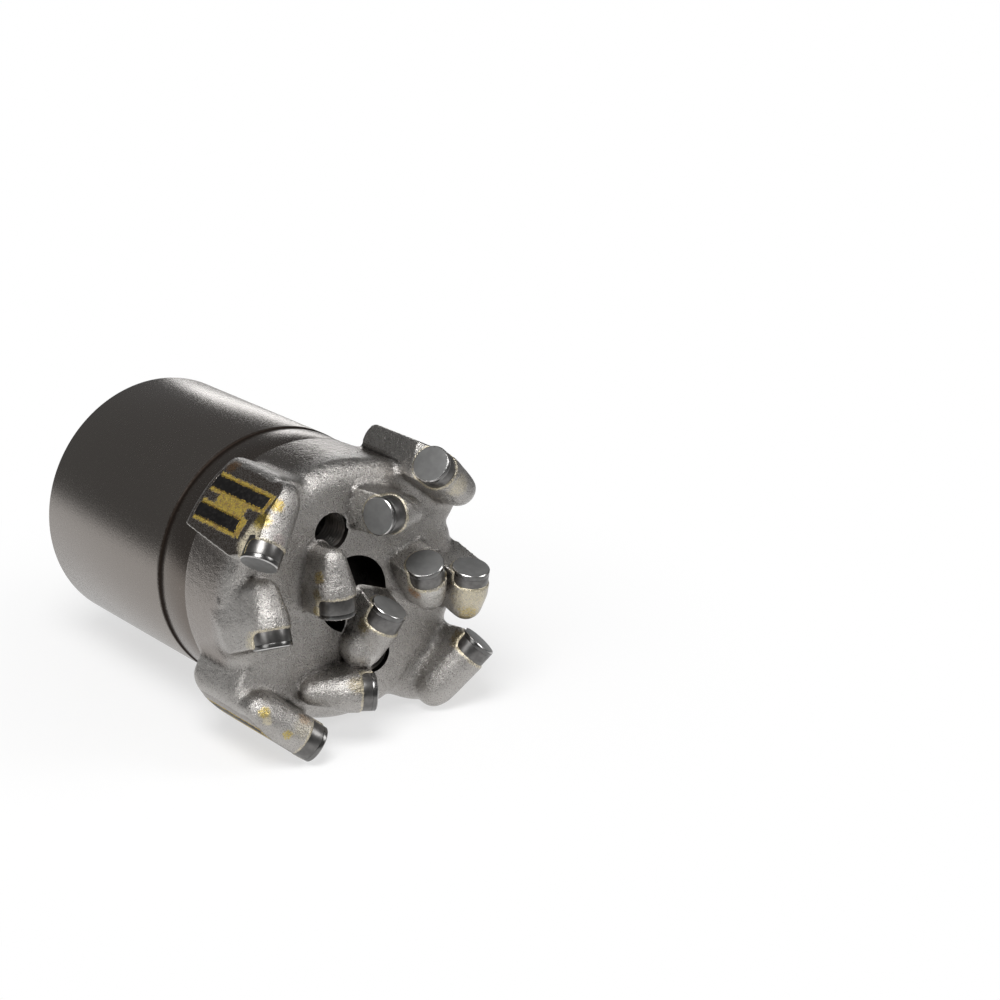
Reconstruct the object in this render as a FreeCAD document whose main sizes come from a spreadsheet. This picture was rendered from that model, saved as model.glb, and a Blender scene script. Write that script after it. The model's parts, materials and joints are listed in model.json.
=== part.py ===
import FreeCAD, Part
import math
import os
import Sketcher
from FreeCAD import Placement, Rotation, Vector

# Four-wing drag bit with brazed diamond cutters, lying on the floor as it comes to rest.
# It is drawn about its own axis first: the origin is the centre of the shank's rear rim, +Z runs
# towards the cutting face, and angles turn anticlockwise as seen from the front, from the first wing.
# One placement, worked out from the points that carry the part, then lays every piece down.

# Driving sizes, in millimetres and degrees.
SIZES = {
    # Shank and crown
    "shank_radius": 47.5,
    "rear_chamfer": 1.2,
    "groove_height": 81.0,
    "groove_width": 1.4,
    "groove_depth": 0.4,
    "neck_relief": 0.3,
    "face_height": 132.0,
    "crown_length": 33.5,
    "shoulder_radius": 8.0,
    # Box thread and waterways
    "lead_radius": 35.5,
    "lead_depth": 8.0,
    "thread_bore_radius": 32.0,
    "thread_bore_depth": 58.0,
    "plenum_depth": 24.0,
    "waterway_radius": 14.0,
    "port_radius": 6.9,
    "port_circle": 26.0,
    "port_angle": 137.0,
    # Cutters
    "cutter_radius": 6.72,
    "cutter_length": 8.0,
    "diamond_thickness": 1.8,
    "diamond_chamfer": 0.35,
    "braze_gap": 0.06,
    # Thumbs that carry the cutters
    "pocket_wall": 0.5,
    "front_setback": 1.0,
    "back_wall": 2.0,
    "skirt_depth": 30.0,
    "relief_drop": 1.0,
    "relief_corner": 3.0,
    "flare_below": 17.0,
    "flare_above": 6.0,
    "flare_radius": 53.0,
    # Wings and gauge
    "gauge_radius": 57.8,
    "gauge_inset": 5.7,
    "gauge_round": 10.5,
    "gauge_reach": 7.5,
    "wing_length": 30.5,
    "wing_rear_round": 5.5,
    "wing_width": 30.0,
    "wing_trailing_round": 7.0,
    "wing_top_drop": 1.0,
    "wing_root": 36.0,
    "flank_lead": 1.0,
    "flank_lean": 6.5,
    "gauge_barrel": 24.0,
    # Gauge strips
    "strip_width": 4.8,
    "strip_depth": 3.4,
    "long_strip_length": 32.0,
    "short_strip_length": 25.0,
    "long_strip_angle": -19.8,
    "short_strip_angle": -8.8,
    "strip_gap": 0.08,
}

WING_COUNT = 4
WING_STEP = 2 * math.pi / WING_COUNT
PORT_COUNT = 2

# Cutter layout: radius, angle and rise above the crown's face of the middle of the diamond face, back
# rake, side rake, length bared on top, reach of the thumb behind the face, and radius of its tail.
LAYOUT_COLUMNS = ("offset", "angle", "rise", "back_rake", "side_rake", "bared", "reach", "tail")
GAUGE_CUTTER = ("=gauge_radius - gauge_inset", 0.0, 12.5, 19.0, 11.0, 6.6, 31.0, 6.6)
FACE_CUTTERS = (
    (8.0, 186.5, 11.8, 21.0, -1.0, 7.4, 24.5, 6.2),
    (14.4, 32.0, 11.3, 5.0, 3.0, 7.2, 24.0, 4.8),
    (24.5, 232.3, 11.8, 17.0, 4.5, 7.2, 21.5, 5.8),
    (31.5, 115.8, 14.5, 25.0, 1.5, 5.4, 26.3, 4.3),
    (31.9, 295.3, 13.3, 15.0, 6.0, 7.4, 21.0, 6.0),
    (41.3, 215.0, 14.0, 13.5, 6.0, 5.4, 21.0, 6.0),
    (42.8, 35.4, 14.5, 24.0, 13.5, 6.2, 24.0, 5.2),
)

SHEET = "Sizes"
CLEAR = 40.0  # how far a tool that trims a wing reaches past it
REST_MESH = 0.03  # how closely the shapes are followed when the part is laid down
REST_TOLERANCE = 0.001

doc = FreeCAD.newDocument("drag_bit")
parts = {}


# The spreadsheet

def fill_sheet():
    """Write every driving size and the cutter layout to the sheet."""
    table = doc.addObject("Spreadsheet::Sheet", SHEET)
    rows = dict(SIZES)
    layouts = {"gauge": GAUGE_CUTTER}
    layouts.update({f"face_{number}": row for number, row in enumerate(FACE_CUTTERS, start=1)})
    for prefix, row in layouts.items():
        rows.update({f"{prefix}_{column}": value for column, value in zip(LAYOUT_COLUMNS, row)})
    for line, (alias, value) in enumerate(rows.items(), start=1):
        table.set(f"A{line}", alias.replace("_", " "))
        table.set(f"B{line}", str(value))
        table.setAlias(f"B{line}", alias)
    doc.recompute()
    return table


sheet = fill_sheet()


def size(alias):
    """The value of one cell."""
    return float(getattr(sheet, alias))


def cell(alias):
    """The same cell as an expression."""
    return f"{SHEET}.{alias}"


# Small helpers for document objects

def bind(item, **expressions):
    """Tie an object's properties to sheet expressions."""
    for name, expression in expressions.items():
        item.setExpression(name, expression)
    return item


def primitive(kind, label, place=None, **expressions):
    """A primitive whose sizes are bound to the sheet."""
    item = doc.addObject(f"Part::{kind}", label)
    item.Label = label
    bind(item, **expressions)
    if place is not None:
        item.Placement = place
    return item


def fuse(label, shapes):
    item = doc.addObject("Part::MultiFuse", label)
    item.Label = label
    item.Shapes = shapes
    return item


def common(label, first, second):
    item = doc.addObject("Part::MultiCommon", label)
    item.Label = label
    item.Shapes = [first, second]
    return item


def cut(label, base, tool):
    item = doc.addObject("Part::Cut", label)
    item.Label = label
    item.Base = base
    item.Tool = tool
    return item


def new_body(label):
    body = doc.addObject("PartDesign::Body", label)
    body.Label = label
    return body


def origin_plane(body, role):
    return next(item for item in body.Origin.OriginFeatures if item.Role == role)


def new_sketch(body, role, label):
    sketch = body.newObject("Sketcher::SketchObject", label)
    sketch.AttachmentSupport = [(origin_plane(body, role), "")]
    sketch.MapMode = "FlatFace"
    return sketch


def value_of(expression):
    """A sheet expression's value as a plain number."""
    result = sheet.evalExpression(expression)
    return float(getattr(result, "Value", result))


def arc_centre(start, end, radius, clockwise):
    """Centre of the shorter arc from start to end."""
    chord = end - start
    rise = math.sqrt(max(radius ** 2 - chord.Length ** 2 / 4, 0.0))
    side = Vector(chord.y, -chord.x, 0) if clockwise else Vector(-chord.y, chord.x, 0)
    return start + chord * 0.5 + side.normalize() * rise


def draw_outline(sketch, corners):
    """Draw a closed outline and pin it to the sheet.

    A corner is (x, y) or (x, y, radius, turn), in expressions: a radius makes the stretch to the
    next corner an arc, turn being "left" or "right" for the side that it curves to.
    """
    spots = [Vector(value_of(corner[0]), value_of(corner[1]), 0) for corner in corners]
    for index, corner in enumerate(corners):
        start, end = spots[index], spots[(index + 1) % len(spots)]
        if len(corner) == 2:
            sketch.addGeometry(Part.LineSegment(start, end), False)
            continue
        clockwise = corner[3] == "right"
        radius = value_of(corner[2])
        centre = arc_centre(start, end, radius, clockwise)
        first, last = (end, start) if clockwise else (start, end)
        angles = [math.atan2(spot.y - centre.y, spot.x - centre.x) for spot in (first, last)]
        circle = Part.Circle(centre, Vector(0, 0, 1), radius)
        sketch.addGeometry(Part.ArcOfCircle(circle, *angles), False)

    def start_of(index):
        turned = len(corners[index]) > 2 and corners[index][3] == "right"
        return (index, 2) if turned else (index, 1)

    def end_of(index):
        geometry, point = start_of(index)
        return geometry, 3 - point

    for index, corner in enumerate(corners):
        following = (index + 1) % len(corners)
        sketch.addConstraint(Sketcher.Constraint("Coincident", *end_of(index), *start_of(following)))
        for kind, expression, value in (
            ("DistanceX", corner[0], spots[index].x),
            ("DistanceY", corner[1], spots[index].y),
        ):
            pin = Sketcher.Constraint(kind, -1, 1, *start_of(index), value)
            number = sketch.addConstraint(pin)
            sketch.setExpression(f"Constraints[{number}]", expression)
        if len(corner) > 2:
            number = sketch.addConstraint(Sketcher.Constraint("Radius", index, value_of(corner[2])))
            sketch.setExpression(f"Constraints[{number}]", corner[2])


# Turned blank: shank, neck, crown and everything bored from the rear

def turned_body(label, corners):
    """A solid of revolution about Z from an outline of radius and height."""
    body = new_body(label)
    sketch = new_sketch(body, "XZ_Plane", f"{label}_outline")
    draw_outline(sketch, corners)
    turned = body.newObject("PartDesign::Revolution", f"{label}_turned")
    turned.Profile = sketch
    turned.ReferenceAxis = (sketch, ["V_Axis"])
    turned.Angle = 360.0
    body.Tip = turned
    return body


def make_blank():
    """Outside of the shank and crown."""
    shank, groove, depth = cell("shank_radius"), cell("groove_height"), cell("groove_depth")
    face, shoulder = cell("face_height"), cell("shoulder_radius")
    neck = f"{shank} - {cell('neck_relief')}"
    crown = f"{face} - {cell('crown_length')}"
    return turned_body("blank", [
        ("0", "0"),
        (f"{shank} - {cell('rear_chamfer')}", "0"),
        (shank, cell("rear_chamfer")),
        (shank, groove),
        (f"{shank} - {depth}", f"{groove} + {depth}"),
        (f"{shank} - {depth}", f"{groove} + {cell('groove_width')}"),
        (neck, f"{groove} + {cell('groove_width')} + {depth}"),
        (neck, crown),
        (shank, f"{crown} + {cell('neck_relief')}"),
        (shank, f"{face} - {shoulder}", shoulder, "left"),
        (f"{shank} - {shoulder}", face),
        ("0", face),
    ])


def make_bore():
    """Box bore, plenum and central waterway as one turned tool."""
    lead, bore, water = cell("lead_radius"), cell("thread_bore_radius"), cell("waterway_radius")
    lead_end = f"{cell('lead_depth')} + {lead} - {bore}"
    bore_end = cell("thread_bore_depth")
    return turned_body("bore", [
        ("0", "0"),
        (lead, "0"),
        (lead, cell("lead_depth")),
        (bore, lead_end),
        (bore, bore_end),
        (water, f"{bore_end} + {cell('plenum_depth')}"),
        (water, cell("face_height")),
        ("0", cell("face_height")),
    ])


def make_ports():
    """Nozzle ports, bored parallel to the axis from the plenum to the face."""
    ports = []
    for number in range(PORT_COUNT):
        angle = math.radians(size("port_angle") + 360.0 * number / PORT_COUNT)
        spot = Vector(math.cos(angle), math.sin(angle), 0) * size("port_circle")
        spot.z = size("thread_bore_depth")
        port = primitive(
            "Cylinder", f"port_{number + 1}", Placement(spot, Rotation()),
            Radius=cell("port_radius"),
            Height=f"{cell('face_height')} - {cell('thread_bore_depth')}",
        )
        ports.append(port)
    return ports


# Cutters and their thumbs, drawn in the cutter's own frame: the origin is the centre of the
# diamond face, +X is out of the face and +Z is up, away from the crown

class Seat:
    """Where one cutter sits, and the cells that describe it."""

    def __init__(self, label, prefix, turn=0.0):
        self.label = label
        self.prefix = prefix
        angle = size(f"{prefix}_angle") + turn
        around = Rotation(Vector(0, 0, 1), angle)
        yaw = angle + 90.0 - size(f"{prefix}_side_rake")
        height = size("face_height") + size(f"{prefix}_rise")
        spot = around.multVec(Vector(size(f"{prefix}_offset"), 0, height))
        self.place = Placement(spot, Rotation(yaw, -size(f"{prefix}_back_rake"), 0))

    def cell(self, column):
        return cell(f"{self.prefix}_{column}")

    def at(self, x=0.0, y=0.0, z=0.0, turn=None):
        """A placement given in the cutter's frame."""
        return self.place * Placement(Vector(x, y, z), turn or Rotation())

    def along(self, x):
        """A placement at x whose Z runs out of the diamond face."""
        return self.at(x, turn=Rotation(Vector(0, 1, 0), 90))


THUMB_RADIUS = f"({cell('cutter_radius')} + {cell('pocket_wall')})"


def tail_spots(seat, barrel):
    """Tail centre and upper tangent point of a thumb's planform."""
    radius, tail = value_of(THUMB_RADIUS), value_of(seat.cell("tail"))
    centre = Vector(tail - value_of(seat.cell("reach")), 0, 0)
    corner = Vector(-value_of(barrel), radius, 0)
    line = corner - centre
    swing = math.atan2(line.y, line.x) + math.acos(tail / line.Length)
    return centre, centre + Vector(math.cos(swing), math.sin(swing), 0) * tail


def draw_thumb(sketch, seat, barrel, whole):
    """Draw a thumb's planform, whole or its upper half, closed by the thumb's axis.

    The sides run back straight beside the cutter, then close in on a round tail.
    """
    radius, front = value_of(THUMB_RADIUS), -size("front_setback")
    centre, touch = tail_spots(seat, barrel)
    tail = value_of(seat.cell("tail"))
    back = -value_of(barrel)
    bottom = -radius if whole else 0.0
    spread = math.atan2(touch.y, touch.x - centre.x)
    last = 2 * math.pi - spread if whole else math.pi
    circle = Part.Circle(centre, Vector(0, 0, 1), tail)
    sketch.addGeometry([
        Part.LineSegment(Vector(front, bottom, 0), Vector(front, radius, 0)),
        Part.LineSegment(Vector(front, radius, 0), Vector(back, radius, 0)),
        Part.LineSegment(Vector(back, radius, 0), touch),
        Part.ArcOfCircle(circle, spread, last),
    ], False)
    rules = [
        ("Coincident", 0, 2, 1, 1), ("Coincident", 1, 2, 2, 1), ("Horizontal", 1),
        ("Tangent", 2, 2, 3, 1), ("PointOnObject", 3, 3, -1),
    ]
    if whole:
        sketch.addGeometry([
            Part.LineSegment(Vector(touch.x, -touch.y, 0), Vector(back, -radius, 0)),
            Part.LineSegment(Vector(back, -radius, 0), Vector(front, -radius, 0)),
        ], False)
        rules += [
            ("Tangent", 3, 2, 4, 1), ("Coincident", 4, 2, 5, 1), ("Coincident", 5, 2, 0, 1),
            ("Horizontal", 5), ("Vertical", 1, 2, 4, 2), ("Symmetric", 0, 1, 0, 2, -1),
        ]
    else:
        sketch.addGeometry(Part.LineSegment(Vector(centre.x - tail, 0, 0), Vector(front, 0, 0)), False)
        rules += [
            ("Coincident", 3, 2, 4, 1), ("Coincident", 4, 2, 0, 1),
            ("PointOnObject", 0, 1, -1), ("Vertical", 0), ("Horizontal", 4),
        ]
    for rule in rules:
        sketch.addConstraint(Sketcher.Constraint(*rule))
    for rule, expression in (
        (("DistanceX", -1, 1, 0, 2, front), f"-{cell('front_setback')}"),
        (("DistanceY", -1, 1, 0, 2, radius), THUMB_RADIUS),
        (("DistanceX", -1, 1, 1, 2, back), f"-({barrel})"),
        (("DistanceX", -1, 1, 3, 3, centre.x), f"{seat.cell('tail')} - {seat.cell('reach')}"),
        (("Radius", 3, tail), seat.cell("tail")),
    ):
        number = sketch.addConstraint(Sketcher.Constraint(*rule))
        sketch.setExpression(f"Constraints[{number}]", expression)


def make_thumb(seat, barrel):
    """A thumb: its planform turned over the cutter, and carried straight down into the crown."""
    body = new_body(f"{seat.label}_thumb")
    half = new_sketch(body, "XY_Plane", f"{seat.label}_half")
    draw_thumb(half, seat, barrel, whole=False)
    dome = body.newObject("PartDesign::Revolution", f"{seat.label}_dome")
    dome.Profile = half
    dome.ReferenceAxis = (half, ["H_Axis"])
    dome.Angle = 360.0
    plan = new_sketch(body, "XY_Plane", f"{seat.label}_plan")
    draw_thumb(plan, seat, barrel, whole=True)
    skirt = body.newObject("PartDesign::Pad", f"{seat.label}_skirt")
    skirt.Profile = plan
    skirt.Reversed = True
    bind(skirt, Length=cell("skirt_depth"))
    body.Tip = skirt
    body.Placement = seat.place
    return body


def make_pocket(seat):
    """The round seat of the cutter, open to the front."""
    return primitive(
        "Cylinder", f"{seat.label}_pocket", seat.along(-size("cutter_length")),
        Radius=f"{cell('cutter_radius')} + {cell('braze_gap')}", Height=cell("cutter_length"),
    )


def make_relief(seat):
    """What is cut away over the front of the cutter to bare its upper half.

    It reaches past the thumb's top and sides, but no further than the diamond face.
    """
    body = new_body(f"{seat.label}_relief")
    sketch = new_sketch(body, "XZ_Plane", f"{seat.label}_relief_side")
    floor, back, corner = f"-{cell('relief_drop')}", f"-{seat.cell('bared')}", cell("relief_corner")
    top = f"2 * {THUMB_RADIUS}"
    draw_outline(sketch, [
        (f"{back} + {corner}", floor),
        ("0", floor),
        ("0", top),
        (back, top),
        (back, f"{floor} + {corner}", corner, "left"),
    ])
    pad = body.newObject("PartDesign::Pad", f"{seat.label}_relief_pad")
    pad.Profile = sketch
    pad.Midplane = True
    bind(pad, Length=f"3 * {THUMB_RADIUS}")
    body.Tip = pad
    body.Placement = seat.place
    return body


def make_cutter(seat):
    """Carbide substrate and the diamond table bonded to its front."""
    carbide = primitive(
        "Cylinder", f"{seat.label}_carbide", seat.along(-size("cutter_length")),
        Radius=cell("cutter_radius"),
        Height=f"{cell('cutter_length')} - {cell('diamond_thickness')}",
    )
    chamfer = cell("diamond_chamfer")
    slab = primitive(
        "Cylinder", f"{seat.label}_slab", seat.along(-size("diamond_thickness")),
        Radius=cell("cutter_radius"), Height=f"{cell('diamond_thickness')} - {chamfer}",
    )
    edge = primitive(
        "Cone", f"{seat.label}_edge", seat.along(-size("diamond_chamfer")),
        Radius1=cell("cutter_radius"), Radius2=f"{cell('cutter_radius')} - {chamfer}", Height=chamfer,
    )
    parts[f"{seat.label}_carbide"] = carbide
    parts[f"{seat.label}_diamond"] = fuse(f"{seat.label}_diamond", [slab, edge])


# Gauge wings, drawn with the wing's leading flank along +X at angle zero

def make_gauge_envelope():
    """Ground outside of the wings: square rear end, gauge diameter and rounded front."""
    gauge, rear, turn = cell("gauge_radius"), cell("wing_rear_round"), cell("gauge_round")
    start = f"({cell('face_height')} - {cell('wing_length')})"
    front = f"({cell('face_height')} + {cell('gauge_reach')})"
    return turned_body("gauge_envelope", [
        ("0", start),
        (f"{gauge} - {rear}", start, rear, "left"),
        (gauge, f"{start} + {rear}"),
        (gauge, front, turn, "left"),
        (f"{gauge} - {turn}", f"{front} + {turn}"),
        ("0", f"{front} + {turn}"),
    ])


def make_wing_block(number, turn):
    """The body of a wing, with its trailing edge rounded into the gauge.

    It reaches ahead of the leading flank, which is cut later.
    """
    gauge, corner, width = cell("gauge_radius"), cell("wing_trailing_round"), cell("wing_width")
    inner, drop = f"({gauge} - {corner})", f"({width} - {corner})"
    reach = f"sqrt({inner}^2 - {drop}^2)"
    front = f"({width} / 2)"
    body = new_body(f"wing_{number}_block")
    sketch = new_sketch(body, "XY_Plane", f"wing_{number}_plan")
    draw_outline(sketch, [
        (cell("wing_root"), f"-{width}"),
        (reach, f"-{width}", corner, "left"),
        (f"{reach} * {gauge} / {inner}", f"-{drop} * {gauge} / {inner}", gauge, "left"),
        (f"sqrt({gauge}^2 - {front}^2)", front),
        (cell("wing_root"), front),
    ])
    pad = body.newObject("PartDesign::Pad", f"wing_{number}_pad")
    pad.Profile = sketch
    bind(pad, Length=f"{cell('face_height')} - {cell('wing_top_drop')}")
    body.Tip = pad
    body.Placement = Placement(Vector(), Rotation(Vector(0, 0, 1), turn))
    return body


def make_flank_tool(seat, number, turn):
    """What lies in front of the leading flank, which leans back towards the shank."""
    lean = Rotation(Vector(1, 0, 0), -size("flank_lean"))
    corner = Placement(Vector(0, size("flank_lead"), size("face_height")), lean)
    shift = Placement(Vector(0, 0, -2 * CLEAR), Rotation())
    around = Placement(Vector(), Rotation(Vector(0, 0, 1), turn))
    flank = primitive("Box", f"wing_{number}_flank", around * corner * shift)
    flank.Length = flank.Height = 4 * CLEAR
    flank.Width = CLEAR
    face = primitive(
        "Box", f"wing_{number}_face", seat.at(-size("front_setback"), -CLEAR, -CLEAR),
    )
    face.Length = CLEAR
    face.Width = face.Height = 2 * CLEAR
    return [flank, face]


def make_wing(seat, number, turn, envelope):
    """One gauge wing with its thumb, cut to its flank and ground to gauge."""
    thumb = make_thumb(seat, cell("gauge_barrel"))
    raw = fuse(f"wing_{number}_raw", [make_wing_block(number, turn), thumb])
    dressed = cut(f"wing_{number}_dressed", raw,
                  fuse(f"wing_{number}_front", make_flank_tool(seat, number, turn)))
    return common(f"wing_{number}", dressed, envelope)


def make_strip(label, number, kind, turn):
    """A gauge strip with its outer face ground to the gauge, and the slot it lies in."""
    gap = cell("strip_gap")
    rear = size("face_height") - size("wing_length") + size("wing_rear_round")
    place = Placement(Vector(), Rotation(Vector(0, 0, 1), turn + size(f"{kind}_strip_angle")))
    inside = size("gauge_radius") - size("strip_depth")
    bar = primitive(
        "Box", f"{label}_bar",
        place * Placement(Vector(inside, -size("strip_width") / 2, rear), Rotation()),
        Length=f"2 * {cell('strip_depth')}", Width=cell("strip_width"),
        Height=cell(f"{kind}_strip_length"),
    )
    ground = primitive("Cylinder", f"{label}_gauge", Radius=cell("gauge_radius"),
                       Height=f"2 * {cell('face_height')}")
    parts[label] = common(label, bar, ground)
    slot = primitive(
        "Box", f"{label}_slot",
        place * Placement(Vector(inside, -size("strip_width") / 2 - size("strip_gap"), rear), Rotation()),
        Length=f"2 * {cell('strip_depth')}", Width=f"{cell('strip_width')} + 2 * {gap}",
        Height=f"{cell(f'{kind}_strip_length')} + {gap}",
    )
    return slot


# The bit body

def make_body():
    """Blank, thumbs and wings in one piece, then everything that is cut into it."""
    face = cell("face_height")
    flare = turned_body("crown_flare", [
        ("0", f"{face} - {cell('flare_below')}"),
        (cell("shank_radius"), f"{face} - {cell('flare_below')}"),
        (cell("flare_radius"), f"{face} + {cell('flare_above')}"),
        (cell("flare_radius"), f"{face} + {CLEAR}"),
        ("0", f"{face} + {CLEAR}"),
    ])
    barrel = f"{cell('cutter_length')} + {cell('back_wall')}"
    face_seats = [Seat(f"face_cutter_{n}", f"face_{n}") for n in range(1, len(FACE_CUTTERS) + 1)]
    thumbs = fuse("face_thumbs", [make_thumb(seat, barrel) for seat in face_seats])
    pieces = [make_blank(), common("crown_thumbs", thumbs, flare)]
    tools = []
    envelope = make_gauge_envelope()
    seats = list(face_seats)
    for number in range(1, WING_COUNT + 1):
        turn = 360.0 * (number - 1) / WING_COUNT
        seat = Seat(f"gauge_cutter_{number}", "gauge", turn)
        seats.append(seat)
        pieces.append(make_wing(seat, number, turn, envelope))
        for kind in ("long", "short"):
            tools.append(make_strip(f"gauge_strip_{number}_{kind}", number, kind, turn))
    for seat in seats:
        tools += [make_pocket(seat), make_relief(seat)]
        make_cutter(seat)
    tools += [make_bore()] + make_ports()
    parts["bit_body"] = cut("bit_body", fuse("solid_body", pieces), fuse("cuts", tools))


# Lying down: the part settles on three points, as it does on a floor

def height_at(spot, corners):
    """Height over a spot of the plane through three corners."""
    origin = corners[0]
    normal = (corners[1] - origin).cross(corners[2] - origin)
    return origin.z - (normal.x * (spot.x - origin.x) + normal.y * (spot.y - origin.y)) / normal.z


def surrounds(corners, spot):
    """Whether the triangle, seen from above, holds the spot."""
    sides = []
    for start, end in zip(corners, corners[1:] + corners[:1]):
        along, across = end - start, spot - start
        sides.append(along.x * across.y - along.y * across.x)
    return min(sides) >= 0 or max(sides) <= 0


def settle(points, weight):
    """The three points that carry a part whose weight hangs at one spot.

    It starts from a wide triangle and swaps one corner at a time for the point that is furthest
    below its plane, keeping the weight inside, until nothing is below it.
    """
    corners = [
        min(points, key=lambda point: point.x + point.z),
        max(points, key=lambda point: point.y),
        min(points, key=lambda point: point.y),
    ]
    while True:
        lowest = min(points, key=lambda point: point.z - height_at(point, corners))
        if height_at(lowest, corners) - lowest.z < REST_TOLERANCE:
            return corners
        swaps = ([lowest if corner is old else corner for corner in corners] for old in corners)
        corners = next(swap for swap in swaps if surrounds(swap, weight))


def lay_down():
    """Place every piece as it lies, with the origin under the middle of the whole part.

    The bit is first rolled until the floor is midway between its second and third wings, with its
    axis level and its face towards +X, and is then tilted until the points that carry it are level.
    """
    midway = math.degrees(1.5 * WING_STEP)
    down = Rotation(Vector(0, 0, 1), midway).multVec(Vector(1, 0, 0))
    rolled = Placement(Vector(), Rotation(Vector(0, 0, 1), Vector(), down * -1, "ZXY").inverted())
    points = []
    for piece in parts.values():
        vertices = piece.Shape.tessellate(REST_MESH)[0]
        points += [rolled.multVec(vertex) for vertex in vertices]
    weight = rolled.multVec(parts["bit_body"].Shape.Solids[0].CenterOfMass)
    corners = settle(points, weight)
    up = (corners[1] - corners[0]).cross(corners[2] - corners[0]).normalize()
    up = up if up.z > 0 else up * -1
    axis = rolled.multVec(Vector(0, 0, 1))
    level = Rotation(axis, Vector(), up, "ZXY").inverted()
    turn = Placement(Vector(), level) * rolled

    box = FreeCAD.BoundBox()
    for piece in parts.values():
        shape = piece.Shape.copy()
        shape.Placement = turn * shape.Placement
        box.add(shape.optimalBoundingBox(False, False))
    origin = Vector(box.Center.x, box.Center.y, box.ZMin)
    lying = Placement(origin * -1, Rotation()) * turn
    for label, piece in parts.items():
        piece.Label = label
        piece.Placement = lying * piece.Placement


def check_document():
    """Stop if any object failed or any piece has no valid solid."""
    for item in doc.Objects:
        if "Invalid" in item.State or "Error" in item.State:
            raise RuntimeError(f"{item.Label} failed: {item.State}")
    for label, piece in parts.items():
        shape = piece.Shape
        if shape.isNull() or not shape.isValid() or len(shape.Solids) != 1:
            raise RuntimeError(f"{label} isn't one valid solid")


make_body()
doc.recompute()
lay_down()
doc.recompute()
check_document()
os.makedirs("parts", exist_ok=True)
for label, piece in parts.items():
    piece.Shape.exportStep(f"parts/{label}.step")
    print(f"{label}: {piece.Shape.Volume / 1000:.2f} cm3")
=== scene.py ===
import json
import logging
from contextlib import contextmanager
from dataclasses import dataclass
from enum import Enum
from functools import cached_property, reduce
from math import asin, atan2, cos, pi, radians, sin, sqrt
from typing import Callable, Iterator

import bmesh
import bpy
import numpy as np
from bpy.types import ID, Material, Object
from mathutils import Matrix, Vector, noise


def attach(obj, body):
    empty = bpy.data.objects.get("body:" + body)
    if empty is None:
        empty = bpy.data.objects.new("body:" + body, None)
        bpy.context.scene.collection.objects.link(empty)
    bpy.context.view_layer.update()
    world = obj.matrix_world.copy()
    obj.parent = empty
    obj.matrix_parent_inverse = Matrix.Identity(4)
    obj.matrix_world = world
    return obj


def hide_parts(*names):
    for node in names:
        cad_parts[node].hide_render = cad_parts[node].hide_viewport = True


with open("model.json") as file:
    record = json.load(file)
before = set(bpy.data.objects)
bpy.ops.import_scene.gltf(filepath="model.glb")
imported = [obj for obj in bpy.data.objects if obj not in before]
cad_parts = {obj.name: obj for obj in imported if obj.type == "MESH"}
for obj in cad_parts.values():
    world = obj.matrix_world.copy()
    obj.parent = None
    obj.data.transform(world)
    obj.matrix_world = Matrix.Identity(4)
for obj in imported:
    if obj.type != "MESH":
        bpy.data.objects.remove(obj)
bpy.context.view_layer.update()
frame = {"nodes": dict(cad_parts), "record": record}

log = logging.getLogger("drag_bit")

MILLIMETRE = 0.001
Colour = tuple[float, float, float]
Spot = tuple[float, float, float]
Pair = tuple[float, float]

# Sizes that several pieces share, in millimetres and in the bit's own axes

SHANK_RADIUS = 47.5
SKIN_START = 98.5
FACE_HEIGHT = 132.0
GAUGE_RADIUS = 57.8
FLANK_LEAD = 1.0
FLANK_LEAN = radians(6.5)
CUTTER_RADIUS = 6.72
CUTTER_LENGTH = 8.0
SETBACK = 1.0
GAUGE_BARED = 6.6
FACE_BARED = (7.4, 7.2, 7.2, 5.4, 7.4, 5.4, 6.2)


class Body(Enum):
    """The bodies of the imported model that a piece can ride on."""

    ROOT = "root"


class Slot(Enum):
    """The record's material slots."""

    STEEL = "body_steel"
    CARBIDE = "carbide"
    DIAMOND = "diamond_table"
    GAUGE = "gauge_carbide"


# Modelling helpers

def deselect_all() -> None:
    """Leave nothing selected, which every operator here expects."""
    bpy.ops.object.select_all(action="DESELECT")


def make_active(item: Object) -> None:
    """Select one object alone and make it the active one."""
    deselect_all()
    item.select_set(True)
    bpy.context.view_layer.objects.active = item


@contextmanager
def editing(item: Object) -> Iterator[None]:
    """Edit one object's mesh, with all of it selected at first."""
    make_active(item)
    bpy.ops.object.mode_set(mode="EDIT")
    bpy.ops.mesh.select_all(action="SELECT")
    yield
    bpy.ops.object.mode_set(mode="OBJECT")


def new_object(name: str, data: ID) -> Object:
    """Put a new object that shows some data in the scene."""
    item = bpy.data.objects.new(name, data)
    bpy.context.scene.collection.objects.link(item)
    return item


def copy_of(node: str, name: str) -> Object:
    """Copy a CAD node under a new name, with a mesh of its own and no materials."""
    item = new_object(name, frame["nodes"][node].data.copy())
    item.data.materials.clear()
    return item


def new_cylinder(name: str, radius: float, low: float, high: float, around: Pair = (0.0, 0.0),
                 sides: int = 96) -> Object:
    """Add a cylinder that stands between two heights.

    Args:
        name: Name of the object.
        radius: Its radius.
        low: Height of its lower end.
        high: Height of its upper end.
        around: Where its axis stands.
        sides: How many sides it has.

    Returns:
        The new object.
    """
    deselect_all()
    bpy.ops.mesh.primitive_cylinder_add(
        vertices=sides, radius=radius, depth=high - low, location=(*around, (low + high) / 2))
    item = bpy.context.object
    item.name = name
    return item


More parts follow.
